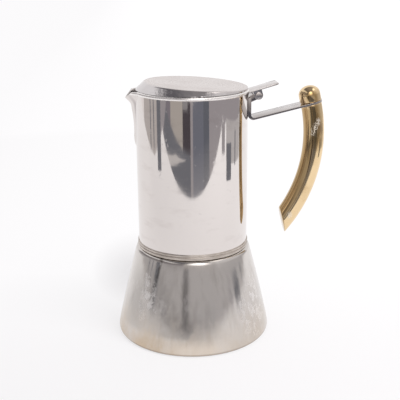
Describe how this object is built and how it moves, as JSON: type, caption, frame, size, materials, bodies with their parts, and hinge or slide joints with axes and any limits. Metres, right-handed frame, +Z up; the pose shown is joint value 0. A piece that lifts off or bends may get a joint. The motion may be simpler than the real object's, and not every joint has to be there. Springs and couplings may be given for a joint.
{
  "type": "moka pot",
  "caption": "Stovetop moka pot: conical steel boiler with safety valve, screwed-on cylindrical collector with V spout and hinged lid, curved brass handle on a bent strip.",
  "frame": {"origin": "centre of the boiler's flat bottom, on the surface that the pot stands on", "axes": "+Z up along the pot's axis, +X towards the handle, -X towards the spout, +Y towards the safety valve"},
  "size_m": [0.1392, 0.1084, 0.1699],
  "materials": {
    "boiler": "satin, heat-stained",
    "collector": "mirror polish",
    "collar": "turned, dull",
    "inner_steel": "satin",
    "funnel": "satin",
    "hinge": "polished",
    "handle": "polished, worn",
    "valve": "turned",
    "spring": "drawn wire",
    "seal": "matt silicone"
  },
  "bodies": {
    "boiler": {"boiler_shell": "boiler", "valve_body": "valve", "valve_washer": "seal", "valve_nut": "valve", "valve_cap": "valve", "valve_spring": "spring"},
    "valve": {"valve_pin": "valve"},
    "funnel": {"funnel_basket": "funnel", "funnel_stem": "funnel", "funnel_filter": "funnel"},
    "seal": {"gasket": "seal", "filter_plate": "inner_steel"},
    "collector": {"collector_shell": "collector", "threaded_collar": "collar", "collector_floor": "inner_steel", "chimney": "inner_steel", "chimney_cap": "inner_steel", "handle_bracket": "hinge", "handle_grip": "handle", "handle_cap": "handle", "handle_stud": "hinge", "hinge_pin": "hinge"},
    "lid": {"lid_shell": "collector", "lid_lever": "hinge"}
  },
  "joints": [
    {"name": "valve_pin_slide", "type": "slide", "parent": "boiler", "child": "valve", "axis": [0, 0.9724, 0.2334], "range_m": [0, 0.002], "stiffness_N_per_m": 1000, "springref_m": -0.0024, "deforming": ["valve_spring"]},
    {"name": "funnel_lift", "type": "slide", "parent": "boiler", "child": "funnel", "axis": [0, 0, 1], "range_m": [0, 0.075]},
    {"name": "thread_rise", "type": "slide", "parent": "funnel", "child": "seal", "axis": [0, 0, 1], "range_m": [0, 0.0121]},
    {"name": "collector_unscrew", "type": "hinge", "parent": "seal", "child": "collector", "pos_m": [0, 0, 0], "axis": [0, 0, 1], "range_deg": [0, 1080]},
    {"name": "lid_hinge", "type": "hinge", "parent": "collector", "child": "lid", "pos_m": [0.0424, 0, 0.1603], "axis": [0, 1, 0], "range_deg": [0, 78]}
  ],
  "couplings": [
    {"joint": "thread_rise", "follows": "collector_unscrew", "m_per_rad": 0.00063662}
  ]
}
